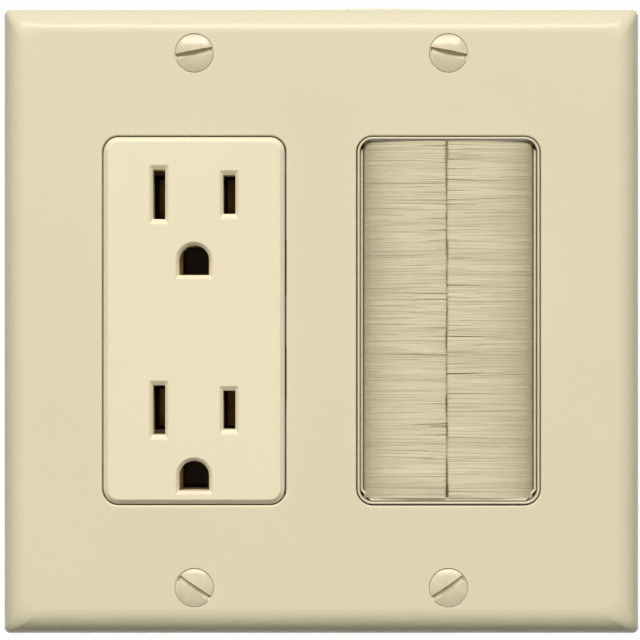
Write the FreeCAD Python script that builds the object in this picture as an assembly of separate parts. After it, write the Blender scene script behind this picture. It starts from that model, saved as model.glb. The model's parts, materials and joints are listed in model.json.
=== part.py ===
import FreeCAD, Part
import math
import os

V = FreeCAD.Vector

# Two-gang wall plate with a duplex outlet on the left and a brush cable opening on the right.
# X is to the right seen from the front, Z is up, the front looks along -Y and the wall is the plane y = 0.
# The origin is the middle of the plate and of the four box screws. Sizes are in millimetres.

# Places shared by both gangs, from the middle of each device outwards
gang_pitch = 46.04
outlet_pitch = 39.0
outlet_end_margin = 13.95
box_screw_reach = 7.17
screw_gap = 0.35
ear_end_margin = 4.93

# Wall plate
plate_width = 115.9
plate_end_margin = 8.73
plate_head_room = 0.3
plate_side = 0.3
plate_corner_r = 1.0
bevel_width = 4.9
crown_corner_r = 3.2
plate_face_wall = 2.0
plate_rim_wall = 2.7
window_width = 33.4
window_corner_r = 3.0
window_edge_r = 0.35
collar_wall = 1.2
collar_gap = 0.4
rib_wall = 1.2
rib_height = 1.4
boss_wall = 1.05

# Screws
thread_r = 1.75
thread_clearance = 0.05
plate_hole_clearance = 0.2
plate_head_r = 3.45
plate_head_dome = 0.7
countersink_angle = 82.0
countersink_clearance = 0.16
plate_screw_length = 12.7
plate_slot_width = 1.0
plate_slot_depth = 1.15
plate_slot_angles = {"upper_left": 11.0, "upper_right": -11.5, "lower_left": -34.0, "lower_right": 34.5}
box_head_r = 3.4
box_head_height = 2.0
box_neck_r = 1.45
box_screw_length = 22.0
box_slot_width = 1.0
box_slot_depth = 0.9
screw_tip = 0.5
washer_size = 8.4
washer_wall = 0.8
box_hole_clearance = 0.3
box_hole_travel = 4.0

# Outlet face
face_proud = 0.8
face_side_gap = 0.35
face_end_gap = 0.25
face_chamfer = 0.8
face_front_wall = 2.4
face_side_wall = 1.6
blade_rise = 3.3
blade_pitch = 12.7
ground_drop = 11.9
neutral_slot_length = 8.9
hot_slot_length = 7.0
blade_slot_width = 2.2
ground_slot_width = 5.45
ground_slot_height = 5.4
lead_in_side = 0.6
lead_in_end = 0.85
lead_in_depth = 0.65
tunnel_wall = 1.1
post_r = 2.6
post_inset_x = 3.95
post_inset_z = 3.8
assembly_hole_floor = 1.4
assembly_thread_r = 1.45
assembly_head_r = 2.6
assembly_head_height = 1.6
assembly_clearance = 0.12
assembly_slot_width = 0.8

# Outlet strap
strap_wall = 1.3
strap_side_inset = 0.3
strap_body_margin = 0.5
strap_neck_inset = 6.5
plaster_ear_height = 9.4
ear_corner_r = 2.5
score_slot_width = 0.9
score_slot_length = 5.4
blade_window_side = 3.15
blade_window_end = 2.05
blade_window_corner_r = 1.5
ground_window_gap = 1.175
tab_reach = 10.5
tab_height = 7.4
tab_gap = 0.7

# Outlet body
body_side_inset = 0.2
body_end_reach = 1.05
body_corner_r = 2.0
body_rear_r = 1.2
body_side_wall = 2.8
body_front_gap = 0.4
contact_clearance = 0.3
terminal_pitch = 20.0
terminal_depth = 7.5
terminal_recess_height = 10.4
terminal_head_r = 4.1
terminal_head_height = 2.0
terminal_thread_r = 2.08
terminal_length = 6.6
terminal_slot_width = 1.1
terminal_slot_depth = 0.9
wire_gap = 0.5
pocket_rear_room = 3.0
body_floor = 7.6

# Brass contacts
contact_wall = 1.0
leaf_wall = 0.8
grip_height = 7.0
grip_mouth = 2.4
grip_throat = 1.4
grip_root = 1.8
grip_throat_depth = 3.2
link_width = 4.0
link_gap = 3.0
ground_plate_r = 5.2
ground_plate_wall = 0.8
ground_leaf_wall = 0.5
ground_grip = 4.6
ground_leaf_height = 4.4
ground_leaf_depth = 10.0
ground_fold_gap = 0.4

# Brush opening: frame
sleeve_proud = 0.4
sleeve_gap = 0.22
sleeve_wall = 0.42
sleeve_edge_r = 0.2
flange_wall = 0.7
insert_ear_wall = 1.5
insert_ear_width = 20.0
insert_ear_corner_r = 3.0
housing_wall = 0.95
housing_corner_r = 2.0
snap_pitch = 36.0
snap_height = 8.0
snap_reach = 0.7
snap_depth = 1.2

# Brush opening: cassette, spines and bristles
cassette_clearance = 0.1
cassette_side_wall = 1.0
cassette_end_wall = 1.7
liner_gap = 0.16
liner_wall = 0.4
liner_setback = 1.2
liner_chamfer = 1.9
groove_lip = 0.8
groove_wall = 0.4
spine_width = 3.0
spine_depth = 3.0
spine_wall = 0.45
spine_clearance = 0.05
core_wire_r = 0.5
core_wire_inset = 1.15
brush_root_wall = 1.9
brush_tip_wall = 1.5
brush_proud = 0.5
front_turn = 0.9
rear_turn = 2.0
rear_rise = 0.45
level_share = 0.7
brush_end_gap = 0.12
seam_gap = 0.1
seam_shift = 0.3
tuft_count = 40
tuft_cycle = 5
tuft_ripple = 0.32
tip_ripple = 0.14

# How far a cut runs past the surface that it opens
overrun = 1.0

# Heights worked out from the middle outwards: window, body, box screws, plate screws and ends
window_height = outlet_pitch + 2 * outlet_end_margin
body_height = window_height + 2 * body_end_reach
box_screw_pitch = body_height + 2 * box_screw_reach
boss_r = thread_r + plate_hole_clearance + boss_wall
plate_screw_pitch = box_screw_pitch + 2 * (box_head_r + screw_gap + boss_r)
device_length = plate_screw_pitch + 2 * ear_end_margin
plate_height = plate_screw_pitch + 2 * plate_end_margin

# Widths worked out from the window
body_width = window_width - 2 * body_side_inset
strap_body_width = body_width - 2 * strap_side_inset
strap_neck_width = body_width - 2 * strap_neck_inset

# Planes along the depth, worked out from the sizes above. The plate clears the heads of the box screws.
plate_depth = insert_ear_wall + box_head_height + plate_head_room + plate_face_wall
wall_y = 0.0
plate_front_y = -plate_depth
plate_inner_y = plate_front_y + plate_face_wall
strap_front_y = wall_y - strap_wall
insert_front_y = wall_y - insert_ear_wall
collar_rear_y = min(strap_front_y, insert_front_y) - collar_gap
face_front_y = plate_front_y - face_proud
sleeve_front_y = plate_front_y - sleeve_proud

# Sideways middle of each gang
outlet_x = -gang_pitch / 2
brush_x = gang_pitch / 2


def block(x0, x1, y0, y1, z0, z1):
    """Box between two corners."""
    return Part.makeBox(x1 - x0, y1 - y0, z1 - z0, V(x0, y0, z0))


def rod(radius, y0, y1, x, z):
    """Cylinder along the depth."""
    return Part.makeCylinder(radius, y1 - y0, V(x, y0, z), V(0, 1, 0))


def cross_rod(radius, x0, x1, y, z):
    """Cylinder along the width."""
    return Part.makeCylinder(radius, x1 - x0, V(x0, y, z), V(1, 0, 0))


def rounded_wire(width, height, radius, y):
    """Rounded rectangle that faces the viewer, at one depth."""
    w = width / 2
    h = height / 2
    k = radius * (1 - math.sqrt(0.5))
    edges = []
    for sx, sz in ((1, 1), (-1, 1), (-1, -1), (1, -1)):
        side = V(sx * w, y, sz * (h - radius))
        bow = V(sx * (w - k), y, sz * (h - k))
        end = V(sx * (w - radius), y, sz * h)
        first, last = (side, end) if sx == sz else (end, side)
        if edges:
            edges.append(Part.LineSegment(edges[-1].Vertexes[-1].Point, first).toShape())
        edges.append(Part.Arc(first, bow, last).toShape())
    edges.append(Part.LineSegment(edges[-1].Vertexes[-1].Point, edges[0].Vertexes[0].Point).toShape())
    return Part.Wire(edges)


def rounded_slab(width, height, radius, y0, y1, z=0.0):
    """Slab with rounded corners between two depths."""
    face = Part.Face(rounded_wire(width, height, radius, y0))
    return face.extrude(V(0, y1 - y0, 0)).translated(V(0, 0, z))


def cut_corner_slab(width, height, cut, y0, y1):
    """Slab whose four corners are cut off at 45 degrees."""
    w = width / 2
    h = height / 2
    points = []
    for sx, sz in ((1, 1), (-1, 1), (-1, -1), (1, -1)):
        pair = [V(sx * w, y0, sz * (h - cut)), V(sx * (w - cut), y0, sz * h)]
        points += pair if sx == sz else pair[::-1]
    face = Part.Face(Part.makePolygon(points + points[:1]))
    return face.extrude(V(0, y1 - y0, 0))


def slot_hole(radius, travel, y0, y1, x, z):
    """Hole with round ends, drawn out sideways by the travel."""
    half = travel / 2
    ends = rod(radius, y0, y1, x - half, z).fuse(rod(radius, y0, y1, x + half, z))
    return ends.fuse(block(x - half, x + half, y0, y1, z - radius, z + radius))


def bent_sheet(points, wall, z0, z1):
    """Sheet metal folded along a line of (x, y) points and extruded upwards."""
    normals = []
    for (ax, ay), (bx, by) in zip(points, points[1:]):
        length = math.hypot(bx - ax, by - ay)
        normals.append((-(by - ay) / length, (bx - ax) / length))
    sides = ([], [])
    for index, (x, y) in enumerate(points):
        before = normals[max(index - 1, 0)]
        after = normals[min(index, len(normals) - 1)]
        scale = wall / 2 / (1 + before[0] * after[0] + before[1] * after[1])
        dx = (before[0] + after[0]) * scale
        dy = (before[1] + after[1]) * scale
        sides[0].append(V(x + dx, y + dy, z0))
        sides[1].append(V(x - dx, y - dy, z0))
    outline = sides[0] + sides[1][::-1]
    face = Part.Face(Part.makePolygon(outline + outline[:1]))
    return face.extrude(V(0, 0, z1 - z0))


def front_edges(shape, y, width, height, x=0.0):
    """Edges that lie flat at one depth, inside a window about the axis."""
    slack = 0.01
    found = []
    for edge in shape.Edges:
        box = edge.BoundBox
        flat = abs(box.YMin - y) < slack and abs(box.YMax - y) < slack
        inside = abs(box.Center.x - x) <= width / 2 + slack and abs(box.Center.z) <= height / 2 + slack
        if flat and inside:
            found.append(edge)
    return found


def mirrored(shape):
    """Mirror image across the middle plane x = 0."""
    return shape.mirror(V(0, 0, 0), V(1, 0, 0))


def plate_shell():
    """Outer form: a low straight side, then a convex edge whose corners open out towards the face."""
    sections = []
    steps = 6
    rise = plate_depth - plate_side
    for step in range(steps + 1):
        turn = math.radians(90.0 * step / steps)
        inset = bevel_width * (1 - math.cos(turn))
        radius = plate_corner_r + (crown_corner_r - plate_corner_r) * (1 - math.cos(turn))
        y = -plate_side - rise * math.sin(turn)
        sections.append(rounded_wire(plate_width - 2 * inset, plate_height - 2 * inset, radius, y))
    crown = Part.makeLoft(sections, True, False)
    base = rounded_slab(plate_width, plate_height, plate_corner_r, -plate_side, wall_y)
    return crown.fuse(base)


def screw_places(pitch):
    """The four places of one screw pattern, by name."""
    places = {}
    for level, sz in (("upper", 1), ("lower", -1)):
        for side, x in (("left", outlet_x), ("right", brush_x)):
            places[level + "_" + side] = (x, sz * pitch / 2)
    return places


def wall_plate():
    """The plate: a hollow moulding with two collared windows and four countersunk screw holes."""
    cavity = rounded_slab(
        plate_width - 2 * plate_rim_wall,
        plate_height - 2 * plate_rim_wall,
        plate_corner_r,
        plate_inner_y,
        wall_y,
    )
    plate = plate_shell().cut(cavity)
    hole_r = thread_r + plate_hole_clearance
    head_slope = math.tan(math.radians(countersink_angle / 2))
    mouth_r = plate_head_r + countersink_clearance
    sink_depth = (mouth_r - hole_r) / head_slope
    added = []
    removed = []
    for x in (outlet_x, brush_x):
        collar = rounded_slab(
            window_width + 2 * collar_wall,
            window_height + 2 * collar_wall,
            window_corner_r + collar_wall,
            plate_inner_y,
            collar_rear_y,
        )
        added.append(collar.translated(V(x, 0, 0)))
        start_y = plate_front_y - overrun
        window = rounded_slab(window_width, window_height, window_corner_r, start_y, wall_y)
        removed.append(window.translated(V(x, 0, 0)))
    rib_rear_y = plate_inner_y + rib_height
    rib_x = plate_width / 2 - plate_rim_wall
    rib_z = plate_height / 2 - plate_rim_wall
    half_rib = rib_wall / 2
    added.append(block(-half_rib, half_rib, plate_inner_y, rib_rear_y, -rib_z, rib_z))
    added.append(block(-rib_x, rib_x, plate_inner_y, rib_rear_y, -half_rib, half_rib))
    for x, z in screw_places(plate_screw_pitch).values():
        added.append(rod(boss_r, plate_inner_y, rib_rear_y, x, z))
        removed.append(rod(hole_r, plate_front_y - overrun, wall_y, x, z))
        cone = Part.makeCone(mouth_r, hole_r, sink_depth, V(x, plate_front_y, z), V(0, 1, 0))
        removed.append(cone)
    plate = plate.fuse(added).cut(removed)
    rims = []
    for x in (outlet_x, brush_x):
        rims += front_edges(plate, plate_front_y, window_width, window_height, x)
    rims = [edge for edge in rims if edge.BoundBox.DiagonalLength > 2 * window_edge_r]
    return plate.makeFillet(window_edge_r, rims)


def turned(profile, x, z):
    """Solid turned about an axis along the depth, from a closed list of edges in the plane z = 0."""
    face = Part.Face(Part.Wire(profile))
    return face.revolve(V(0, 0, 0), V(0, 1, 0), 360).translated(V(x, 0, z))


def domed_profile(head_r, dome, edge_y, under, length):
    """Half section of a domed screw: dome, edge, underside points, shank and tip."""
    tip_y = edge_y + length
    top = V(0, edge_y - dome, 0)
    rim = V(head_r, edge_y, 0)
    swell_r = (head_r**2 + dome**2) / (2 * dome)
    bow_angle = math.asin(head_r / swell_r) / 2
    bow = V(swell_r * math.sin(bow_angle), edge_y - dome + swell_r * (1 - math.cos(bow_angle)), 0)
    points = [rim] + under
    points += [V(thread_r, tip_y - screw_tip, 0), V(thread_r - screw_tip, tip_y, 0), V(0, tip_y, 0), top]
    edges = [Part.Arc(top, bow, rim).toShape()]
    for a, b in zip(points, points[1:]):
        edges.append(Part.LineSegment(a, b).toShape())
    return edges


def driver_slot(width, depth, span, y, x, z, angle):
    """Screwdriver slot across a head, turned from level by an angle."""
    cut = block(-span, span, y - overrun, y + depth, -width / 2, width / 2)
    cut.rotate(V(0, 0, 0), V(0, 1, 0), -angle)
    return cut.translated(V(x, 0, z))


def plate_screw(x, z, angle):
    """Oval head screw, seated in its countersink with the dome above the face."""
    slope = math.tan(math.radians(countersink_angle / 2))
    cone_y = plate_front_y + (plate_head_r - thread_r) / slope
    under = [V(thread_r, cone_y, 0)]
    profile = domed_profile(plate_head_r, plate_head_dome, plate_front_y, under, plate_screw_length)
    top_y = plate_front_y - plate_head_dome
    slot = driver_slot(plate_slot_width, plate_slot_depth, plate_head_r + overrun, top_y, x, z, angle)
    return turned(profile, x, z).cut(slot)


def box_screw(x, z, seat_y):
    """Round head screw that holds a device to the wall box: a plain neck, then thread behind its washer."""
    rim_height = box_head_height / 2
    dome = box_head_height - rim_height
    edge_y = seat_y - rim_height
    neck_end_y = wall_y + washer_wall
    under = [V(box_head_r, seat_y, 0), V(box_neck_r, seat_y, 0)]
    under += [V(box_neck_r, neck_end_y, 0), V(thread_r, neck_end_y, 0)]
    profile = domed_profile(box_head_r, dome, edge_y, under, box_screw_length + rim_height)
    top_y = seat_y - box_head_height
    slot = driver_slot(box_slot_width, box_slot_depth, box_head_r + overrun, top_y, x, z, 0.0)
    return turned(profile, x, z).cut(slot)


def retaining_washer(x, z):
    """Square card washer round the neck of a box screw, too tight to come off over the thread."""
    half = washer_size / 2
    washer = block(x - half, x + half, wall_y, wall_y + washer_wall, z - half, z + half)
    return washer.cut(rod(box_neck_r + thread_clearance, wall_y, wall_y + washer_wall, x, z))


# Outlet: places of the blades, pins and screws about its own middle
face_width = window_width - 2 * face_side_gap
face_height = window_height - 2 * face_end_gap
face_corner_r = window_corner_r - face_side_gap
outlet_levels = {"upper": outlet_pitch / 2, "lower": -outlet_pitch / 2}
blade_x = blade_pitch / 2
post_x = face_width / 2 - post_inset_x
post_z = face_height / 2 - post_inset_z
post_places = [(sx * post_x, sz * post_z) for sx in (-1, 1) for sz in (-1, 1)]


def blade_level(level):
    """Height of the blades of one outlet."""
    return outlet_levels[level] + blade_rise


def ground_level(level):
    """Height of the round pin of one outlet."""
    return blade_level(level) - ground_drop


def blade_slots():
    """Side, level and slot length of the four blade slots: the neutral ones are the longer."""
    slots = []
    for level in outlet_levels:
        slots.append((-blade_x, blade_level(level), neutral_slot_length))
        slots.append((blade_x, blade_level(level), hot_slot_length))
    return slots


def rectangle_wire(width, height, y):
    """Rectangle that faces the viewer."""
    w = width / 2
    h = height / 2
    points = [V(-w, y, -h), V(w, y, -h), V(w, y, h), V(-w, y, h), V(-w, y, -h)]
    return Part.makePolygon(points)


def arch_wire(width, height, y):
    """Pin slot outline: flat below, a half circle above, about the middle of the pin."""
    r = width / 2
    foot = r - height
    floor = Part.LineSegment(V(-r, y, foot), V(r, y, foot)).toShape()
    right = Part.LineSegment(V(r, y, foot), V(r, y, 0)).toShape()
    arch = Part.Arc(V(r, y, 0), V(0, y, r), V(-r, y, 0)).toShape()
    left = Part.LineSegment(V(-r, y, 0), V(-r, y, foot)).toShape()
    return Part.Wire([floor, right, arch, left])


def tapered_cut(outer_wire, inner_wire, x, z, through_y):
    """Slot with a sloping lead-in at the front and straight walls behind it."""
    lead_in = Part.makeLoft([outer_wire, inner_wire], True, True)
    y = inner_wire.BoundBox.YMin
    tunnel = Part.Face(inner_wire).extrude(V(0, through_y - y, 0))
    return lead_in.fuse(tunnel).translated(V(x, 0, z))


def slot_cuts():
    """The six slots of the outlet face, from its front to the strap."""
    throat_y = face_front_y + lead_in_depth
    cuts = []
    for x, z, length in blade_slots():
        outer = rectangle_wire(blade_slot_width + 2 * lead_in_side, length + 2 * lead_in_end, face_front_y)
        inner = rectangle_wire(blade_slot_width, length, throat_y)
        cuts.append(tapered_cut(outer, inner, x, z, strap_front_y))
    for level in outlet_levels:
        outer = arch_wire(
            ground_slot_width + 2 * lead_in_side, ground_slot_height + 2 * lead_in_side, face_front_y
        )
        inner = arch_wire(ground_slot_width, ground_slot_height, throat_y)
        cuts.append(tapered_cut(outer, inner, 0.0, ground_level(level), strap_front_y))
    return cuts


def receptacle_face():
    """Outlet front: a shell with blade tunnels and four screw posts behind it."""
    outer = rounded_slab(face_width, face_height, face_corner_r, face_front_y, strap_front_y)
    rim = front_edges(outer, face_front_y, face_width, face_height)
    outer = outer.makeChamfer(face_chamfer, rim)
    inner_y = face_front_y + face_front_wall
    hollow = rounded_slab(
        face_width - 2 * face_side_wall,
        face_height - 2 * face_side_wall,
        face_corner_r - face_side_wall,
        inner_y,
        strap_front_y,
    )
    added = []
    for x, z, length in blade_slots():
        w = blade_slot_width / 2 + tunnel_wall
        h = length / 2 + tunnel_wall
        added.append(block(x - w, x + w, inner_y, strap_front_y, z - h, z + h))
    for level in outlet_levels:
        z = ground_level(level)
        added.append(rod(ground_slot_width / 2 + tunnel_wall, inner_y, strap_front_y, 0, z))
    removed = slot_cuts()
    for x, z in post_places:
        added.append(rod(post_r, inner_y, strap_front_y, x, z))
        hole_y = face_front_y + assembly_hole_floor
        removed.append(rod(assembly_thread_r + thread_clearance, hole_y, strap_front_y, x, z))
    return outer.cut(hollow).fuse(added).cut(removed)


def receptacle_strap():
    """Steel strap: a window for each outlet, plaster ears, screw holes and a folded ground tab."""
    ear_z = device_length / 2 - plaster_ear_height / 2
    strap = rounded_slab(
        strap_body_width, body_height - 2 * strap_body_margin, body_corner_r, strap_front_y, wall_y
    )
    added = [rounded_slab(strap_neck_width, device_length, ear_corner_r, strap_front_y, wall_y)]
    removed = []
    for sz in (-1, 1):
        ear = rounded_slab(body_width, plaster_ear_height, ear_corner_r, strap_front_y, wall_y, sz * ear_z)
        added.append(ear)
        for sx in (-1, 1):
            x = sx * strap_neck_width / 2
            score = block(
                x - score_slot_width / 2,
                x + score_slot_width / 2,
                strap_front_y,
                wall_y,
                sz * ear_z - score_slot_length / 2,
                sz * ear_z + score_slot_length / 2,
            )
            removed.append(score)
        tapped_r = thread_r + thread_clearance
        removed.append(rod(tapped_r, strap_front_y, wall_y, 0, sz * plate_screw_pitch / 2))
        box_r = thread_r + box_hole_clearance
        z = sz * box_screw_pitch / 2
        removed.append(slot_hole(box_r, box_hole_travel, strap_front_y, wall_y, 0, z))
    for level in outlet_levels:
        window = rounded_slab(
            blade_pitch + 2 * blade_window_side,
            neutral_slot_length + 2 * blade_window_end,
            blade_window_corner_r,
            strap_front_y,
            wall_y,
            blade_level(level),
        )
        removed.append(window)
        pin_window_r = ground_slot_width / 2 + ground_window_gap
        removed.append(rod(pin_window_r, strap_front_y, wall_y, 0, ground_level(level)))
    for x, z in post_places:
        removed.append(rod(assembly_thread_r + assembly_clearance, strap_front_y, wall_y, x, z))
    tab_x, tab_z = ground_tab_place()
    tab = block(
        tab_x,
        tab_x + strap_wall,
        strap_front_y,
        tab_reach,
        tab_z - tab_height / 2,
        tab_z + tab_height / 2,
    )
    added.append(tab)
    tapped_r = thread_r + thread_clearance
    hole = cross_rod(tapped_r, tab_x - overrun, tab_x + strap_wall + overrun, terminal_depth, tab_z)
    removed.append(hole)
    return strap.fuse(added).cut(removed).removeSplitter()


def ground_tab_place():
    """Left face and middle height of the folded ground tab, just below the body."""
    return -strap_neck_width / 2, -body_height / 2 - tab_gap - tab_height / 2


# Live parts: planes along the width, from the blade outwards
side_plate_x = body_width / 2 - body_side_wall - contact_clearance - contact_wall
grip_rear_y = wall_y + body_front_gap + ground_leaf_depth + contact_wall
pocket_floor_y = grip_rear_y + pocket_rear_room
body_depth = pocket_floor_y + body_floor


def live_pocket():
    """Pocket on the right for one live contact, open to the front."""
    inner_x = blade_x - grip_mouth / 2 - leaf_wall - contact_clearance
    outer_x = body_width / 2 - body_side_wall
    half = grip_height / 2 + contact_clearance
    return block(
        inner_x, outer_x, wall_y, pocket_floor_y, blade_level("lower") - half, blade_level("upper") + half
    )


def receptacle_body():
    """Rear housing: pockets for the contacts, side recesses for the terminals, four screw holes."""
    body = rounded_slab(body_width, body_height, body_corner_r, wall_y, body_depth)
    body = body.makeFillet(body_rear_r, front_edges(body, body_depth, body_width, body_height))
    pocket = live_pocket()
    removed = [pocket, mirrored(pocket)]
    recess_x = body_width / 2 - body_side_wall
    for sz in (-1, 1):
        z = sz * terminal_pitch / 2
        recess = block(
            recess_x - contact_clearance,
            body_width,
            terminal_depth - terminal_recess_height / 2,
            terminal_depth + terminal_recess_height / 2,
            z - terminal_recess_height / 2,
            z + terminal_recess_height / 2,
        )
        removed += [recess, mirrored(recess)]
    for level in outlet_levels:
        z = ground_level(level)
        seat_r = ground_plate_r + contact_clearance
        removed.append(rod(seat_r, wall_y, ground_plate_wall + contact_clearance, 0, z))
        x = ground_grip / 2 + ground_leaf_wall + contact_clearance
        h = ground_leaf_height / 2 + contact_clearance
        removed.append(block(-x, x, wall_y, ground_leaf_depth + 2 * contact_clearance, z - h, z + h))
    for x, z in post_places:
        removed.append(rod(assembly_thread_r + assembly_clearance, wall_y, body_depth, x, z))
        bore_y = body_depth - assembly_head_height - contact_clearance
        removed.append(rod(assembly_head_r + contact_clearance, bore_y, body_depth, x, z))
    return body.cut(removed)


def live_contact():
    """Brass bar on the right: side plate with a break-off link, and two grips for the blades."""
    half = grip_height / 2
    front_y = wall_y + body_front_gap
    top = blade_level("upper") + half
    bottom = blade_level("lower") - half
    bar = block(side_plate_x, side_plate_x + contact_wall, front_y, grip_rear_y, bottom, top)
    middle = (front_y + grip_rear_y) / 2
    outer_x = side_plate_x + contact_wall
    half_gap = link_gap / 2
    half_link = link_width / 2
    notch = block(side_plate_x, outer_x, front_y, grip_rear_y, -half_gap, half_gap)
    link = block(side_plate_x, outer_x, middle - half_link, middle + half_link, -half_gap, half_gap)
    bar = bar.cut(notch).fuse(link)
    added = []
    for level in outlet_levels:
        z0 = blade_level(level) - half
        z1 = blade_level(level) + half
        web_x = blade_x - grip_root / 2 - leaf_wall
        added.append(block(web_x, side_plate_x, grip_rear_y - contact_wall, grip_rear_y, z0, z1))
        for side in (-1, 1):
            gaps = (grip_mouth, grip_throat, grip_root)
            depths = (front_y, front_y + grip_throat_depth, grip_rear_y - contact_wall / 2)
            line = [(blade_x + side * (gap + leaf_wall) / 2, y) for gap, y in zip(gaps, depths)]
            added.append(bent_sheet(line, leaf_wall, z0, z1))
    bar = bar.fuse(added)
    holes = []
    for sz in (-1, 1):
        tapped_r = terminal_thread_r + thread_clearance
        hole = cross_rod(
            tapped_r, side_plate_x, side_plate_x + contact_wall, terminal_depth, sz * terminal_pitch / 2
        )
        holes.append(hole)
    return bar.cut(holes).removeSplitter()


def ground_contact(level):
    """Round plate under the strap with two leaves folded back to grip the pin."""
    z = ground_level(level)
    plate = rod(ground_plate_r, wall_y, wall_y + ground_plate_wall, 0, z)
    x0 = ground_grip / 2
    x1 = x0 + ground_leaf_wall
    h = ground_leaf_height / 2
    hole = block(-x0, x0, wall_y, ground_plate_wall, z - h - ground_fold_gap, z + h + ground_fold_gap)
    leaves = [block(x0, x1, wall_y, ground_leaf_depth, z - h, z + h)]
    leaves.append(mirrored(leaves[0]))
    return plate.cut(hole).fuse(leaves)


def side_screw(seat_x, y, z, shank_r):
    """Terminal screw on the right side, with its head standing off by the room for a wire."""
    head_x = seat_x + wire_gap
    head = cross_rod(terminal_head_r, head_x, head_x + terminal_head_height, y, z)
    top = [edge for edge in head.Edges if edge.BoundBox.XMin > head_x + terminal_head_height / 2]
    head = head.makeChamfer(terminal_head_height / 4, top)
    shank = cross_rod(shank_r, head_x - terminal_length, head_x, y, z)
    floor_x = head_x + terminal_head_height - terminal_slot_depth
    half = terminal_slot_width / 2
    reach = terminal_head_r + overrun
    end_x = floor_x + terminal_slot_depth + overrun
    slot = block(floor_x, end_x, y - reach, y + reach, z - half, z + half)
    return head.fuse(shank).cut(slot)


def assembly_screw(x, z):
    """Thread-forming screw from the rear of the body into a post of the face."""
    head_y = body_depth - assembly_head_height
    tip_y = face_front_y + assembly_hole_floor + contact_clearance
    shank = rod(assembly_thread_r, tip_y, head_y, x, z)
    head = rod(assembly_head_r, head_y, body_depth, x, z)
    reach = assembly_head_r + overrun
    half = assembly_slot_width / 2
    floor_y = body_depth - assembly_head_height / 2
    slot = block(x - reach, x + reach, floor_y, body_depth, z - half, z + half)
    return shank.fuse(head).cut(slot)


# Brush opening: places about its own middle, from the window inwards
sleeve_width = window_width - 2 * sleeve_gap
sleeve_height = window_height - 2 * sleeve_gap
sleeve_corner_r = window_corner_r - sleeve_gap
housing_front_y = insert_front_y + flange_wall
liner_width = sleeve_width - 2 * sleeve_wall - 2 * liner_gap
liner_height = sleeve_height - 2 * sleeve_wall - 2 * liner_gap
throat_width = liner_width - 2 * liner_wall
throat_height = liner_height - 2 * liner_wall
throat_bottom_z = -throat_height / 2
throat_top_z = sleeve_height / 2 - sleeve_wall
liner_front_y = sleeve_front_y + liner_setback
groove_x = throat_width / 2 + groove_lip
groove_width = spine_width + 2 * spine_clearance
groove_depth = spine_depth + 2 * spine_clearance
cassette_width = 2 * (groove_x + groove_width + cassette_side_wall)
cassette_height = throat_height + 2 * cassette_end_wall
housing_width = cassette_width + 2 * (cassette_clearance + housing_wall)
housing_height = cassette_height + 2 * (cassette_clearance + housing_wall)
housing_depth = housing_front_y + cassette_clearance + groove_depth + 2 * groove_wall
spine_middle_y = (housing_front_y + housing_depth) / 2
brush_bottom_z = throat_bottom_z + brush_end_gap
brush_height = throat_top_z - brush_end_gap - brush_bottom_z
snap_places = [(sx, sz * snap_pitch / 2) for sx in (-1, 1) for sz in (-1, 1)]


def insert_frame():
    """One moulding: a thin sleeve through the window, a flange, a rear housing and two mounting ears."""
    sleeve = rounded_slab(sleeve_width, sleeve_height, sleeve_corner_r, sleeve_front_y, housing_front_y)
    added = [
        rounded_slab(housing_width, housing_height, housing_corner_r, insert_front_y, housing_depth),
        rounded_slab(insert_ear_width, device_length, insert_ear_corner_r, insert_front_y, wall_y),
    ]
    throat = rounded_slab(
        sleeve_width - 2 * sleeve_wall,
        sleeve_height - 2 * sleeve_wall,
        sleeve_corner_r - sleeve_wall,
        sleeve_front_y,
        housing_depth,
    )
    pocket = rounded_slab(
        housing_width - 2 * housing_wall,
        housing_height - 2 * housing_wall,
        housing_corner_r - housing_wall,
        housing_front_y,
        housing_depth,
    )
    removed = [throat, pocket]
    for sz in (-1, 1):
        tapped_r = thread_r + thread_clearance
        removed.append(rod(tapped_r, insert_front_y, wall_y, 0, sz * plate_screw_pitch / 2))
        box_r = thread_r + box_hole_clearance
        z = sz * box_screw_pitch / 2
        removed.append(slot_hole(box_r, box_hole_travel, insert_front_y, wall_y, 0, z))
    for sx, z in snap_places:
        near = sx * cassette_width / 2
        far = sx * housing_width
        half = snap_height / 2 + cassette_clearance
        y0 = snap_front_y() - cassette_clearance
        y1 = y0 + snap_depth + 2 * cassette_clearance
        removed.append(block(min(near, far), max(near, far), y0, y1, z - half, z + half))
    frame = sleeve.fuse(added).cut(removed)
    rim = front_edges(frame, sleeve_front_y, sleeve_width, sleeve_height)
    return frame.makeFillet(sleeve_edge_r, rim)


def throat_slab(gap):
    """Space inside the liner, drawn in by a gap all round: cut corners below, open to the sleeve above."""
    corner = liner_chamfer - (liner_wall + gap) * (2 - math.sqrt(2))
    half_x = throat_width / 2 - gap
    start_y = liner_front_y - overrun
    slab = cut_corner_slab(2 * half_x, throat_height - 2 * gap, corner, start_y, housing_front_y)
    return slab.fuse(block(-half_x, half_x, start_y, housing_front_y, 0, throat_top_z - gap))


def throat_block(y0, y1):
    """Square-cornered space of the same width and height between two depths."""
    half_x = throat_width / 2
    return block(-half_x, half_x, y0, y1, throat_bottom_z, throat_top_z)


def snap_front_y():
    """Depth where the snap catches start."""
    return housing_depth - snap_depth - 2 * housing_wall


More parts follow.
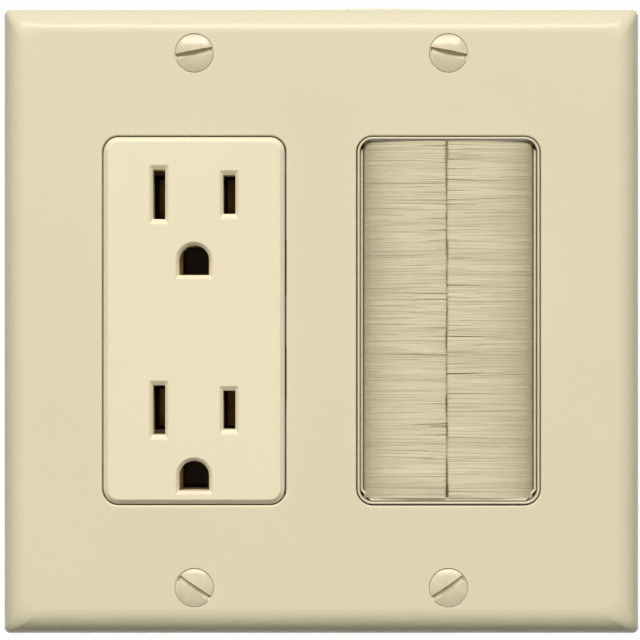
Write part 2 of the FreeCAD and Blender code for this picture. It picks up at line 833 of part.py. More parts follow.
def brush_cassette():
    """Carrier that snaps in from behind: a thin U-shaped liner and a groove for each spine."""
    liner = cut_corner_slab(liner_width, liner_height, liner_chamfer, liner_front_y, housing_front_y)
    body = rounded_slab(
        cassette_width,
        cassette_height,
        housing_corner_r - housing_wall,
        housing_front_y + cassette_clearance,
        housing_depth,
    )
    neck = cut_corner_slab(
        liner_width, liner_height, liner_chamfer, liner_front_y, housing_front_y + 2 * cassette_clearance
    )
    added = [neck]
    for sx, z in snap_places:
        near = sx * (cassette_width / 2 - housing_wall)
        far = sx * (cassette_width / 2 + snap_reach)
        y0 = snap_front_y()
        half = snap_height / 2
        catch = block(min(near, far), max(near, far), y0, y0 + snap_depth, z - half, z + half)
        added.append(catch)
    groove = block(
        groove_x,
        groove_x + groove_width,
        spine_middle_y - groove_depth / 2,
        spine_middle_y + groove_depth / 2,
        throat_bottom_z - spine_clearance,
        cassette_height,
    )
    mouth_half = brush_root_wall / 2 + spine_clearance
    mouth = block(
        throat_width / 2 - cassette_clearance,
        groove_x + cassette_clearance,
        spine_middle_y - mouth_half,
        spine_middle_y + mouth_half,
        throat_bottom_z - spine_clearance,
        cassette_height,
    )
    removed = [throat_slab(0.0), throat_block(housing_front_y, housing_depth)]
    removed += [groove, mirrored(groove), mouth, mirrored(mouth)]
    return liner.fuse(body).fuse(added).cut(removed)


def spine_x():
    """Inner and outer faces of the right spine."""
    inner = groove_x + spine_clearance
    return inner, inner + spine_width


def brush_spine():
    """Folded steel channel on the right, open towards the middle."""
    inner, outer = spine_x()
    half = spine_wall / 2
    low = spine_middle_y - spine_depth / 2 + half
    high = spine_middle_y + spine_depth / 2 - half
    line = [(inner, low), (outer - half, low), (outer - half, high), (inner, high)]
    return bent_sheet(line, spine_wall, throat_bottom_z, throat_top_z)


def core_wire_place():
    """Sideways place of the wire that the filaments are folded round."""
    return spine_x()[1] - core_wire_inset


def core_wire():
    """Straight wire on the right, inside the fold of the filaments."""
    return Part.makeCylinder(
        core_wire_r, brush_height, V(core_wire_place(), spine_middle_y, brush_bottom_z), V(0, 0, 1)
    )


def tuft_section(front_lift, tip_x):
    """Section of one tuft from above: straight in the spine, out to the front, then level to the seam."""
    root_x = spine_x()[1] - spine_wall - spine_clearance
    bend_x = throat_width / 2
    root = brush_root_wall / 2
    tip_front_y = liner_front_y - brush_proud - front_lift
    tip_rear_y = liner_front_y - brush_proud + brush_tip_wall
    front_y = spine_middle_y - root
    rear_y = spine_middle_y + root

    def bow(start_y, end_y, turn, rise):
        curve = Part.BezierCurve()
        turn_y = start_y + (end_y - start_y) * rise
        turned_up = V(bend_x - turn, turn_y, 0)
        levelled = V(bend_x * level_share, end_y, 0)
        curve.setPoles([V(bend_x, start_y, 0), turned_up, levelled, V(tip_x, end_y, 0)])
        return curve.toShape()

    edges = [
        Part.LineSegment(V(root_x, front_y, 0), V(bend_x, front_y, 0)).toShape(),
        bow(front_y, tip_front_y, front_turn, 1.0),
        Part.LineSegment(V(tip_x, tip_front_y, 0), V(tip_x, tip_rear_y, 0)).toShape(),
        bow(rear_y, tip_rear_y, rear_turn, rear_rise),
        Part.LineSegment(V(bend_x, rear_y, 0), V(root_x, rear_y, 0)).toShape(),
        Part.LineSegment(V(root_x, rear_y, 0), V(root_x, front_y, 0)).toShape(),
    ]
    return Part.Face(Part.Wire(Part.__sortEdges__(edges)))


def tuft_step(index, stride, phase):
    """Share from 0 to 1 that differs between neighbouring tufts."""
    return (stride * index + phase) % tuft_cycle / (tuft_cycle - 1)


def bristles(phase, seam_x):
    """Field of filament on the right: tufts side by side, each with its own crest and length."""
    pitch = brush_height / tuft_count
    tip_x = seam_x + seam_gap / 2
    tufts = []
    for index in range(tuft_count):
        tuft = tuft_section(tuft_ripple * tuft_step(index, 3, phase), tip_x).extrude(V(0, 0, pitch))
        short_x = tip_x + tip_ripple * tuft_step(index, 2, phase)
        tuft = tuft.cut(block(tip_x - overrun, short_x, sleeve_front_y, housing_front_y, 0, pitch))
        tufts.append(tuft.translated(V(0, 0, index * pitch + brush_bottom_z)))
    field = tufts[0].multiFuse(tufts[1:])
    wire_hole = Part.makeCylinder(
        core_wire_r + spine_clearance,
        2 * brush_height,
        V(core_wire_place(), spine_middle_y, -brush_height),
        V(0, 0, 1),
    )
    start_y = liner_front_y - overrun
    in_sleeve = rounded_slab(
        sleeve_width - 2 * (sleeve_wall + brush_end_gap),
        sleeve_height - 2 * (sleeve_wall + brush_end_gap),
        sleeve_corner_r - sleeve_wall - brush_end_gap,
        start_y,
        housing_front_y,
    )
    corners = throat_block(start_y, housing_front_y).cut(throat_slab(brush_end_gap).common(in_sleeve))
    return field.cut([wire_hole, corners]).removeSplitter()


def build():
    """All pieces by name, each in its place."""
    to_outlet = V(outlet_x, 0, 0)
    to_brush = V(brush_x, 0, 0)
    pieces = {"wall_plate": wall_plate()}
    for name, (x, z) in screw_places(plate_screw_pitch).items():
        pieces["plate_screw_" + name] = plate_screw(x, z, plate_slot_angles[name])
    for name, (x, z) in screw_places(box_screw_pitch).items():
        seat_y = strap_front_y if x < 0 else insert_front_y
        pieces["box_screw_" + name] = box_screw(x, z, seat_y)
        pieces["retaining_washer_" + name] = retaining_washer(x, z)

    contact = live_contact()
    outlet = {
        "receptacle_face": receptacle_face(),
        "receptacle_strap": receptacle_strap(),
        "receptacle_body": receptacle_body(),
        "hot_contact": contact,
        "neutral_contact": mirrored(contact),
        "assembly_screws": Part.makeCompound([assembly_screw(x, z) for x, z in post_places]),
    }
    for level, sz in (("upper", 1), ("lower", -1)):
        outlet["ground_contact_" + level] = ground_contact(level)
        seat_x = side_plate_x + contact_wall
        screw = side_screw(seat_x, terminal_depth, sz * terminal_pitch / 2, terminal_thread_r)
        outlet["hot_terminal_screw_" + level] = screw
        outlet["neutral_terminal_screw_" + level] = mirrored(screw)
    tab_x, tab_z = ground_tab_place()
    outlet["ground_screw"] = mirrored(side_screw(-tab_x, terminal_depth, tab_z, thread_r))
    for name, shape in outlet.items():
        pieces[name] = shape.translated(to_outlet)

    spine = brush_spine()
    wire = core_wire()
    brush = {
        "insert_frame": insert_frame(),
        "brush_cassette": brush_cassette(),
        "brush_spine_right": spine,
        "brush_spine_left": mirrored(spine),
        "core_wire_right": wire,
        "core_wire_left": mirrored(wire),
        "bristles_right": bristles(0, -seam_shift),
        "bristles_left": mirrored(bristles(2, seam_shift)),
    }
    for name, shape in brush.items():
        pieces[name] = shape.translated(to_brush)
    return pieces


os.makedirs("parts", exist_ok=True)
for node, shape in build().items():
    shape.exportStep("parts/" + node + ".step")
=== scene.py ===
import json
import math
import random

import bpy
import numpy as np
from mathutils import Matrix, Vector

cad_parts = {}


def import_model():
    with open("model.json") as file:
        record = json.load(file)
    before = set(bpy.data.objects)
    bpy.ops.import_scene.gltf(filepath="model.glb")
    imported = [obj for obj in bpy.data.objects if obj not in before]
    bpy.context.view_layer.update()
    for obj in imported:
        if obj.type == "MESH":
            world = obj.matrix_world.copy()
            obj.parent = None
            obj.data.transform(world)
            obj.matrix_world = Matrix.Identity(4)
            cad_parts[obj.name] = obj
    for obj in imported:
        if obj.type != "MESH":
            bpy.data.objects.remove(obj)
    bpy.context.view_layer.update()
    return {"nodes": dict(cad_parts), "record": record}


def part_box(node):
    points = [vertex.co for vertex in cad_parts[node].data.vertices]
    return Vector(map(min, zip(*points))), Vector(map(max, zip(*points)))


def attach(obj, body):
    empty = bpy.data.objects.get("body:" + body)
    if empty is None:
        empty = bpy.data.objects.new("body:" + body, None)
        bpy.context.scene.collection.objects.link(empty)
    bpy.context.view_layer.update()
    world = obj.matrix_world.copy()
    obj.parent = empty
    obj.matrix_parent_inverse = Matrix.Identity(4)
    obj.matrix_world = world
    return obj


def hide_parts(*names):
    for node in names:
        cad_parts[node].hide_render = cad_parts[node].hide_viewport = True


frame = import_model()

# Two-gang wall plate with a duplex outlet on the left and a brush cable opening on the right.
# Metres, in the frame's own axes: the front looks along -Y and Z is up.
MM = 0.001


# Colours
def srgb(red, green, blue):
    """Linear colour from the three 8-bit values of a colour as it looks."""
    linear = []
    for value in (red, green, blue):
        share = value / 255
        linear.append(share / 12.92 if share <= 0.04045 else ((share + 0.055) / 1.055) ** 2.4)
    return (*linear, 1.0)


def scaled(colour, factor):
    """The same colour, lighter or darker."""
    return (*[min(channel * factor, 1.0) for channel in colour[:3]], 1.0)


plate_ivory = srgb(223, 214, 182)
face_ivory = srgb(236, 225, 192)
liner_ivory = srgb(218, 207, 177)
paint_ivory = srgb(222, 212, 180)
thin_paint_ivory = srgb(210, 199, 166)
dark_brown = srgb(92, 68, 44)
zinc_grey = srgb(203, 203, 198)
dull_zinc_grey = srgb(168, 166, 156)
brass_yellow = srgb(128, 92, 46)
dull_brass_yellow = srgb(84, 56, 28)
nickel_grey = srgb(214, 211, 203)
dull_nickel_grey = srgb(176, 172, 164)
paint_green = srgb(38, 122, 66)
thin_paint_green = srgb(24, 92, 48)
card_tan = srgb(178, 160, 130)
card_fleck = srgb(132, 112, 84)
filament_cream = srgb(217, 205, 173)
filament_pale_cream = srgb(228, 217, 185)
# The darkest filament colour, also the colour of painted shade at the roots, in the core and at the seam
filament_dark_and_shade = srgb(118, 100, 66)


# Node helpers
def fill(node, values):
    """Constants on a node's inputs, whose names are given with _ for each space."""
    for name, value in values.items():
        node.inputs[name.replace("_", " ")].default_value = value


class Graph:
    """The node tree of a material or a world, emptied, with short ways to build it up."""

    def __init__(self, owner):
        owner.use_nodes = True
        self.tree = owner.node_tree
        self.tree.nodes.clear()

    def add(self, kind, **values):
        """A new node of this kind, with constants on its inputs."""
        node = self.tree.nodes.new("ShaderNode" + kind)
        fill(node, values)
        return node

    def link(self, source, target):
        """Feeds one node's output into another node's input."""
        self.tree.links.new(source, target)


class Shader(Graph):
    """A material with one Principled shader and short ways to feed it."""

    edge_samples = 6

    def __init__(self, name):
        self.material = bpy.data.materials.new(name)
        super().__init__(self.material)
        output = self.add("OutputMaterial")
        self.surface = self.add("BsdfPrincipled")
        self.link(self.surface.outputs["BSDF"], output.inputs["Surface"])
        self.place = self.add("TexCoord").outputs["Object"]

    def set(self, **values):
        """Constants on the shader's own sockets."""
        fill(self.surface, values)

    def noise(self, scale, detail=3.0, stretch=(1, 1, 1)):
        """Noise in object space, drawn out along an axis by a small factor there."""
        mapping = self.add("Mapping", Scale=stretch)
        texture = self.add("TexNoise", Scale=scale, Detail=detail)
        self.link(self.place, mapping.inputs["Vector"])
        self.link(mapping.outputs["Vector"], texture.inputs["Vector"])
        return texture.outputs["Fac"]

    def spread(self, value, low=0.0, high=1.0, start=0.3, end=0.7):
        """Carries a value from the range start to end into the range low to high."""
        node = self.add("MapRange", From_Min=start, From_Max=end, To_Min=low, To_Max=high)
        self.link(value, node.inputs["Value"])
        return node.outputs["Result"]

    def blend(self, factor, first, second):
        """Colour between two colours, each a constant or another node's output."""
        node = self.add("Mix")
        node.data_type = "RGBA"
        self.link(factor, node.inputs["Factor"])
        colour_inputs = [socket for socket in node.inputs if socket.type == "RGBA"]
        for socket, colour in zip(colour_inputs, (first, second)):
            if isinstance(colour, tuple):
                socket.default_value = colour
            else:
                self.link(colour, socket)
        return [socket for socket in node.outputs if socket.type == "RGBA"][0]

    def colour(self, source):
        """Feeds the surface's colour."""
        self.link(source, self.surface.inputs["Base Color"])

    def rough(self, pattern, low, high):
        """Roughness between two values, by a pattern."""
        self.link(self.spread(pattern, low, high), self.surface.inputs["Roughness"])

    def relief(self, height, strength, distance, edge):
        """Bump from a height, over edges softened by a small radius."""
        bump = self.add("Bump", Strength=strength, Distance=distance)
        bevel = self.add("Bevel", Radius=edge)
        bevel.samples = self.edge_samples
        self.link(height, bump.inputs["Height"])
        self.link(bevel.outputs["Normal"], bump.inputs["Normal"])
        self.link(bump.outputs["Normal"], self.surface.inputs["Normal"])


# Finishes
def plastic(name, colour, roughness, refraction=1.42, mottle=0.012, grain=0.04, edge=0.15 * MM):
    """Moulded plastic: faint clouding in the colour, a fine skin and softened edges."""
    shader = Shader(name)
    clouds = shader.spread(shader.noise(scale=38.0, detail=4.0))
    shader.colour(shader.blend(clouds, scaled(colour, 1 - mottle), scaled(colour, 1 + mottle)))
    shader.rough(shader.noise(scale=900.0), low=roughness - 0.02, high=roughness + 0.02)
    skin = shader.noise(scale=2600.0, detail=2.0)
    shader.relief(skin, strength=grain, distance=0.03 * MM, edge=edge)
    shader.set(IOR=refraction)
    return shader.material


def metal(name, colour, stain, roughness, stretch=(1, 1, 1)):
    """Bare or plated metal: a stain in patches, rolling lines and softened edges."""
    shader = Shader(name)
    patches = shader.spread(shader.noise(scale=180.0, detail=5.0), start=0.42, end=0.72)
    shader.colour(shader.blend(patches, colour, stain))
    lines = shader.noise(scale=1900.0, stretch=stretch)
    shader.rough(lines, low=roughness - 0.06, high=roughness + 0.1)
    shader.relief(lines, strength=0.12, distance=0.02 * MM, edge=0.08 * MM)
    shader.set(Metallic=1.0)
    return shader.material


def enamel(name, colour, thin_colour, roughness):
    """Paint over metal: smooth and glossy, a little thinner in places."""
    shader = Shader(name)
    clouds = shader.spread(shader.noise(scale=420.0))
    shader.colour(shader.blend(clouds, thin_colour, colour))
    ripple = shader.noise(scale=700.0, detail=2.0)
    shader.rough(ripple, low=roughness - 0.02, high=roughness + 0.03)
    swell = shader.noise(scale=900.0, detail=2.0)
    shader.relief(swell, strength=0.08, distance=0.04 * MM, edge=0.12 * MM)
    shader.set(IOR=1.34)
    return shader.material


def card(name, colour, fleck):
    """Pressed fibre card with flecks."""
    shader = Shader(name)
    fibres = shader.noise(scale=1500.0, detail=6.0, stretch=(1, 1, 0.35))
    shader.colour(shader.blend(shader.spread(fibres), fleck, colour))
    shader.relief(fibres, strength=0.5, distance=0.05 * MM, edge=0.08 * MM)
    shader.set(Roughness=0.85)
    return shader.material


def bristle(name, pale, palest, dark_and_shade):
    """Nylon filament: pale, a little glossy along its length, each with its own tone. The tone attribute
    also carries painted shade, towards the dark colour.
    """
    shader = Shader(name)
    tone = shader.add("Attribute")
    tone.attribute_name = "tone"
    streaks = shader.noise(scale=420.0, detail=4.0, stretch=(0.05, 1, 1))
    streaked = shader.blend(shader.spread(streaks), pale, palest)
    shader.colour(shader.blend(tone.outputs["Fac"], dark_and_shade, streaked))
    shader.rough(streaks, low=0.42, high=0.55)
    shader.set(IOR=1.5, Sheen_Weight=0.12, Sheen_Roughness=0.5)
    return shader.material


finishes = {
    "plate_plastic": plastic("plate_plastic", plate_ivory, roughness=0.24, refraction=1.29),
    "face_plastic": plastic("face_plastic", face_ivory, roughness=0.3, refraction=1.3, edge=0.4 * MM),
    "insert_plastic": plastic("insert_plastic", liner_ivory, roughness=0.36, refraction=1.34),
    "body_plastic": plastic("body_plastic", dark_brown, roughness=0.5, mottle=0.08, grain=0.25),
    "screw_paint": enamel("screw_paint", paint_ivory, thin_paint_ivory, roughness=0.16),
    "zinc_steel": metal("zinc_steel", zinc_grey, dull_zinc_grey, roughness=0.34, stretch=(1, 1, 0.08)),
    "brass": metal("brass", brass_yellow, dull_brass_yellow, roughness=0.42, stretch=(1, 0.1, 1)),
    "nickel": metal("nickel", nickel_grey, dull_nickel_grey, roughness=0.26),
    "green_paint": enamel("green_paint", paint_green, thin_paint_green, roughness=0.3),
    "card": card("card", card_tan, card_fleck),
}

# The two bristle solids get no finish here, because filaments replace them below
slot_of = {part["node"]: part["material_slot"] for part in frame["record"]["subparts"]}
for name, node in frame["nodes"].items():
    slot = slot_of[name]
    if slot in finishes:
        node.data.materials.clear()
        node.data.materials.append(finishes[slot])


# Brush: its middle, and the throat between the lips of the grooves that hold the spines
spine_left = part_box("brush_spine_left")
spine_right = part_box("brush_spine_right")
brush_x = (spine_left[1].x + spine_right[0].x) / 2
groove_lip = 0.85 * MM
throat_half = spine_right[0].x - brush_x - groove_lip

# Brush: how far the roots reach under the lip, and how deep roots and tips lie
root_reach = 1.2 * MM
root_front_y = 0.25 * MM
tip_setback = 0.1 * MM
tip_wall = 1.5 * MM
tip_fall = 0.1 * MM
tip_fall_power = 6

# Brush: the line of a filament, as shares of the way to its tip and of how far back it still lies
filament_line = (
    (0.0, 1.0),
    (0.003, 0.45),
    (0.01, 0.19),
    (0.04, 0.115),
    (0.12, 0.08),
    (0.28, 0.045),
    (0.55, 0.012),
    (0.98, 0.0),
    (1.0, 0.0),
)

# Brush: the section of a filament, and how its radius varies from one to the next
filament_r = 0.1 * MM
filament_sides = 3
radius_range = (0.9, 1.1)
tip_thinness = 0.6

# Brush: the rows, each with its depth as a share of the field's, and how much a filament strays in it
row_pitch = 0.13 * MM
row_depths = (0.0, 0.04, 0.09, 0.18, 0.45, 1.0)
place_range = (0.3, 0.7)
depth_scatter = 0.015
front_scatter = 0.025 * MM
lean_scatter = 0.003
sway_scatter = 0.025 * MM

# Brush: how far tips end short of the seam, with more near both ends of the brush and a few strays
tip_scatter = 0.04 * MM
end_gap = 0.12 * MM
end_reach = 9 * MM
stray_share = 0.02
stray_gap = 0.3 * MM

# Brush: waves up the height, each as its size, the height that turns it by a radian, and its start
patch_wave = (0.08 * MM, 2.9 * MM, 0.0)
patch_swell = (1.0, 1.3 * MM, 0.8)
seam_waves = ((0.04 * MM, 5.3 * MM, 0.0), (0.03 * MM, 1.7 * MM, 1.0))
lean_waves = ((0.011, 3.7 * MM, 1.0), (0.007, 1.45 * MM, -2.0))

# Brush: clumps, with their spacing as shares of the pitch, and the middle and spread of their pull
clump_pitch = 1.5 * MM
clump_spacing = (0.35, 1.7)
clump_pull = (0.03, 0.07)

# Brush: tones from 0, dark, to 1, pale. A pick below the first number has a tone in the range after it
tone_ranges = (
    (0.02, (0.25, 0.6)),
    (0.12, (0.7, 0.9)),
    (1.0, (0.93, 1.0)),
)

# Brush: how tone changes along a filament: painted shade darkens it towards its root, and it shows its
# own tone at its tip
root_painted_shade = 0.5
root_painted_shade_power = 4
dark_least = 0.1
dark_start = 0.35
dark_rise = 0.55

# Brush: the core just behind the front filaments, painted darker as the shade behind them. Its end,
# painted dark as the shade in the seam, covers a share of the gap there
core_wall = 0.6 * MM
core_setback = 0.22 * MM
core_painted_shade = 0.85
core_cover = 0.6
seam_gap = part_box("bristles_right")[0].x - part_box("bristles_left")[1].x
seam_shade = 0.15 * MM


def filament_field(name, side, seed):
    """One half of the brush: rows of bowed filaments over a core, between the spine and the seam."""
    chance = random.Random(seed)
    low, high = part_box("bristles_left" if side < 0 else "bristles_right")
    seam_x = high.x if side < 0 else low.x
    root_x = brush_x + side * (throat_half + root_reach)
    bend_x = brush_x + side * throat_half
    tip_front_y = low.y + tip_setback
    tip_rear_y = tip_front_y + tip_wall
    bottom, top = low.z + filament_r, high.z - filament_r
    length = abs(bend_x - seam_x)
    clumps = make_clumps(chance, bottom, top)
    per_row = int((top - bottom) / row_pitch)

    vertices = []
    faces = []
    tones_and_painted_shades = []
    for row_depth in row_depths:
        for index in range(per_row):
            start_z = bottom + (index + chance.uniform(*place_range)) * (top - bottom) / per_row
            depth = min(max(row_depth + chance.uniform(-depth_scatter, depth_scatter), 0.0), 1.0)
            start_y = root_front_y + (high.y - root_front_y) * depth
            end_y = tip_front_y + (tip_rear_y - tip_front_y) * depth
            end_y += chance.uniform(0.0, front_scatter) * (1 - depth)
            tip_x = seam_x + side * tip_shortfall(chance, start_z, bottom, top) + seam_wander(start_z)
            clump_z, pull = clump_at(clumps, start_z)
            lean = lean_at(start_z, side) + chance.gauss(0.0, lean_scatter)
            slant = lean * length + (clump_z - start_z) * pull
            sway = chance.gauss(0.0, sway_scatter)
            tone = filament_tone(chance)
            points = [(root_x, start_y, start_z)]
            # Painted shade at the root, then painted shade times the filament's own tone along the rest
            # of it
            painted_shades_and_tones = [root_painted_shade]
            for share, back in filament_line:
                x = bend_x + (tip_x - bend_x) * share
                z = start_z + slant * share**2 + sway * math.sin(math.pi * share)
                points.append((x, depth_along(share, back, start_y, end_y), min(max(z, bottom), top)))
                painted_shades_and_tones.append(painted_shade_along(share) * (1 - (1 - tone) * dark_part(share)))
            add_tube(vertices, faces, points, chance.uniform(*radius_range) * filament_r)
            tones_and_painted_shades += [painted_shade_and_tone for painted_shade_and_tone in painted_shades_and_tones for corner in range(filament_sides)]

    core_x = (root_x, bend_x, seam_x - side * seam_gap * core_cover)
    core_y = (root_front_y + core_setback, tip_front_y + core_setback)
    add_core(vertices, faces, tones_and_painted_shades, core_x, core_y, (bottom, top))
    return toned_piece(name, vertices, faces, tones_and_painted_shades)


def wave(z, size, length, start):
    """One wave's swing at a height."""
    return size * math.sin(z / length + start)


def tip_shortfall(chance, z, bottom, top):
    """How far one tip ends short of the seam: a little here and there, more near both ends."""
    from_end = min(top - z, z - bottom)
    opening = end_gap * max(1 - from_end / end_reach, 0.0)
    patch = wave(z, *patch_wave) * wave(z, *patch_swell)
    stray = stray_gap if chance.random() < stray_share else 0.0
    return chance.gauss(0.0, tip_scatter) + opening + patch + stray


def seam_wander(z):
    """The seam's own slow drift to either side."""
    return sum(wave(z, *values) for values in seam_waves)


def lean_at(z, side):
    """How much the filaments round a height lean up or down on their way to the seam."""
    return sum(wave(z, size, length, start * side) for size, length, start in lean_waves)


def depth_along(share, back, start_y, end_y):
    """Y at a share of the way: out to the front, and back a little at the tip."""
    return end_y + (start_y - end_y) * back + tip_fall * share**tip_fall_power


def dark_part(share):
    """Where along its length a dark filament is dark: most towards its tip."""
    return dark_least + (1 - dark_least) * min(max((share - dark_start) / dark_rise, 0.0), 1.0)


def painted_shade_along(share):
    """Painted shade along a filament: darker towards its root, by the wall of the opening, fading out
    towards its tip.
    """
    return 1 - (1 - root_painted_shade) * (1 - share) ** root_painted_shade_power


def make_clumps(chance, bottom, top):
    """Places that neighbouring tips lean towards, with how much they do."""
    clumps = []
    z = bottom
    while z < top:
        z += clump_pitch * chance.uniform(*clump_spacing)
        clumps.append((z, max(chance.gauss(*clump_pull), 0.0)))
    return clumps


def clump_at(clumps, z):
    """The nearest clump's place and pull."""
    return min(clumps, key=lambda clump: abs(clump[0] - z))


def filament_tone(chance):
    """How light one filament is: mostly pale, a few dark."""
    pick = chance.random()
    low, high = next(reach for share, reach in tone_ranges if pick < share)
    return chance.uniform(low, high)


def add_tube(vertices, faces, points, radius):
    """Thin tube along points that run mostly along X, closed at its tip."""
    first = len(vertices)
    for index, (x, y, z) in enumerate(points):
        thin = tip_thinness if index == len(points) - 1 else 1.0
        for corner in range(filament_sides):
            angle = 2 * math.pi * corner / filament_sides - math.pi / 2
            out_y = radius * thin * math.sin(angle)
            out_z = radius * thin * math.cos(angle)
            vertices.append((x, y + out_y, z + out_z))
    last = join_rings(faces, first, len(points), filament_sides)
    faces.append(tuple(range(last, last + filament_sides)))


def add_core(vertices, faces, tones_and_painted_shades, places_x, front_y, reach_z):
    """Inner body of the field, just behind its front filaments, painted darker as shade. It closes the
    seam with an end painted dark as the shade there.
    """
    root_x, bend_x, end_x = places_x
    start_y, end_y = front_y
    bottom, top = reach_z
    section = ((0.0, bottom), (0.0, top), (core_wall, top), (core_wall, bottom))
    stations = [(root_x, start_y)]
    for share, back in filament_line:
        stations.append((bend_x + (end_x - bend_x) * share, depth_along(share, back, start_y, end_y)))

    first = len(vertices)
    for x, y in stations:
        share = min(abs(x - bend_x) / abs(end_x - bend_x), 1.0)
        # Painted shade: the core is darker than the filaments, and darkest at its seam end
        tone = 0.0 if abs(x - end_x) < seam_shade else core_painted_shade * painted_shade_along(share)
        for rise, z in section:
            vertices.append((x, y + rise, z))
            tones_and_painted_shades.append(tone)
    last = join_rings(faces, first, len(stations), len(section))
    faces.append(tuple(range(first, first + len(section))))
    faces.append(tuple(reversed(range(last, last + len(section)))))


def join_rings(faces, first, rings, sides):
    """Faces between each ring of vertices and the next. Gives the last ring's first vertex."""
    for ring in range(rings - 1):
        here = first + ring * sides
        there = here + sides
        for corner in range(sides):
            other = (corner + 1) % sides
            faces.append((here + corner, here + other, there + other, there + corner))
    return first + (rings - 1) * sides


def toned_piece(name, vertices, faces, tones_and_painted_shades):
    """A smooth mesh object with a tone on each vertex, its own tone and painted shade together, which
    its material reads.
    """
    mesh = bpy.data.meshes.new(name)
    mesh.from_pydata(vertices, [], faces)
    attribute = mesh.attributes.new("tone", "FLOAT", "POINT")
    attribute.data.foreach_set("value", np.array(tones_and_painted_shades, np.float32))
    mesh.polygons.foreach_set("use_smooth", np.ones(len(mesh.polygons), bool))
    mesh.update()
    piece = bpy.data.objects.new(name, mesh)
    bpy.context.scene.collection.objects.link(piece)
    return piece


bristle_material = bristle("bristle", filament_cream, filament_pale_cream, filament_dark_and_shade)
for side, seed in ((-1, 7), (1, 19)):
    half = "left" if side < 0 else "right"
    field = filament_field("filaments_" + half, side, seed)
    field.data.materials.append(bristle_material)
    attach(field, "root")
    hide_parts("bristles_" + half)


# Floor: a pale disc well below the plate, whose rim fades out
floor_level = -0.16
floor_radius = 0.45
floor_sides = 96
floor_fade_start = 0.22
floor_fade_end = 0.96 * floor_radius
floor_seen = (0.93, 0.93, 0.92, 1)
floor_bounced = (0.2, 0.2, 0.2, 1)


def floor():
    """The disc, as part of the stage."""
    ring = []
    for index in range(floor_sides):
        angle = 2 * math.pi * index / floor_sides
        ring.append((floor_radius * math.cos(angle), floor_radius * math.sin(angle), floor_level))
    mesh = bpy.data.meshes.new("floor")
    mesh.from_pydata(ring, [], [tuple(range(floor_sides))])
    disc = bpy.data.objects.new("floor", mesh)
    bpy.context.scene.collection.objects.link(disc)
    disc.data.materials.append(floor_finish())


def floor_finish():
    """Pale to the camera, darker to the light that would bounce off it, clear at its rim."""
    material = bpy.data.materials.new("floor")
    graph = Graph(material)
    output = graph.add("OutputMaterial")
    pale = graph.add("BsdfDiffuse", Color=floor_seen)
    dim = graph.add("BsdfDiffuse", Color=floor_bounced)
    clear = graph.add("BsdfTransparent")
    place = graph.add("TexCoord")
    flat = graph.add("VectorMath")
    flat.operation = "MULTIPLY"
    flat.inputs[1].default_value = (1, 1, 0)
    from_middle = graph.add("VectorMath")
    from_middle.operation = "LENGTH"
    fade = graph.add("MapRange", From_Min=floor_fade_start, From_Max=floor_fade_end)
    fade.interpolation_type = "SMOOTHSTEP"
    graph.link(place.outputs["Object"], flat.inputs[0])
    graph.link(flat.outputs["Vector"], from_middle.inputs[0])
    graph.link(from_middle.outputs["Value"], fade.inputs["Value"])
    by_ray = mix_shaders(graph, seen_rays(graph), dim, pale)
    by_radius = mix_shaders(graph, fade.outputs["Result"], by_ray, clear)
    graph.link(by_radius.outputs["Shader"], output.inputs["Surface"])
    return material


def mix_shaders(graph, factor, first, second):
    """Mixes two shader nodes: the first where the factor is 0, the second where it is 1."""
    mix = graph.add("MixShader")
    graph.link(factor, mix.inputs["Fac"])
    graph.link(first.outputs[0], mix.inputs[1])
    graph.link(second.outputs[0], mix.inputs[2])
    return mix


def seen_rays(graph):
    """1 for what the camera sees, also by reflection or through glass, and 0 for light that bounces."""
    rays = graph.add("LightPath")
    total = rays.outputs["Is Camera Ray"]
    for kind in ("Is Glossy Ray", "Is Transmission Ray"):
        step = graph.add("Math")
        step.operation = "MAXIMUM"
        graph.link(total, step.inputs[0])
        graph.link(rays.outputs[kind], step.inputs[1])
        total = step.outputs["Value"]
    return total


floor()


# World: near white to the camera and in reflections, and a dim ambient for the rest of the light
backdrop_colour = (0.985, 0.985, 0.975, 1)
ambient_colour = (1.0, 0.99, 0.97, 1)
ambient_level = 0.05


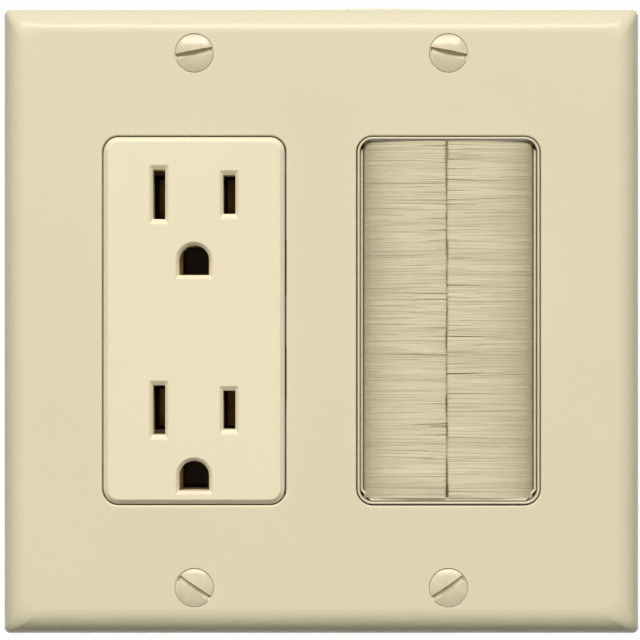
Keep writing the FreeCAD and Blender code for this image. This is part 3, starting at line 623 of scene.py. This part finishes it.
def world():
    """The studio round the object."""
    studio = bpy.data.worlds.new("studio")
    bpy.context.scene.world = studio
    graph = Graph(studio)
    output = graph.add("OutputWorld")
    backdrop = graph.add("Background", Color=backdrop_colour)
    ambient = graph.add("Background", Color=ambient_colour, Strength=ambient_level)
    by_ray = mix_shaders(graph, seen_rays(graph), ambient, backdrop)
    graph.link(by_ray.outputs["Shader"], output.inputs["Surface"])


world()


# Lights
lamp_colour = (1.0, 0.995, 0.98)


def soft_light(name, azimuth, elevation, distance, width, height, share):
    """Area light that looks at the plate's middle. Azimuth 0 is in front of it.

    Share is how much of the plain level the lamp gives a surface that faces it.
    """
    turn = math.radians(azimuth)
    rise = math.radians(elevation)
    towards = Vector((math.sin(turn) * math.cos(rise), -math.cos(turn) * math.cos(rise), math.sin(rise)))
    lamp = bpy.data.lights.new(name, "AREA")
    lamp.shape = "RECTANGLE"
    lamp.size = width
    lamp.size_y = height
    lamp.energy = math.pi**2 * distance**2 * share
    lamp.color = lamp_colour
    holder = bpy.data.objects.new(name, lamp)
    holder.location = towards * distance
    holder.rotation_mode = "QUATERNION"
    holder.rotation_quaternion = (-towards).to_track_quat("-Z", "Y")
    bpy.context.scene.collection.objects.link(holder)


soft_light("key", azimuth=-3, elevation=37, distance=2.2, width=2.4, height=0.6, share=1.29)
soft_light("fill_left", azimuth=-22, elevation=8, distance=1.2, width=0.5, height=0.7, share=0.03)
soft_light("fill_right", azimuth=22, elevation=8, distance=1.2, width=0.5, height=0.7, share=0.03)

# Behind the wall line, so that the rear and the sides show in other views
soft_light("rear_left", azimuth=196, elevation=25, distance=1.2, width=0.6, height=0.6, share=0.45)
soft_light("rear_right", azimuth=160, elevation=25, distance=1.2, width=0.6, height=0.6, share=0.35)


# Camera: square to the plate, half a metre from the outlet's face, where the picture has its width
camera_distance = 0.5
camera_x = -0.25 * MM
camera_z = 0.1 * MM
picture_width = 115.7 * MM
face_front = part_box("receptacle_face")[0].y
camera_data = bpy.data.cameras.new("camera")
camera_data.sensor_width = 36.0
camera_data.lens = camera_data.sensor_width * camera_distance / picture_width
camera_data.clip_start = 0.02
camera = bpy.data.objects.new("camera", camera_data)
camera.location = (camera_x, face_front - camera_distance, camera_z)
camera.rotation_euler = (math.radians(90), 0, 0)
bpy.context.scene.collection.objects.link(camera)
bpy.context.scene.camera = camera
bpy.context.scene.view_settings.view_transform = "Standard"
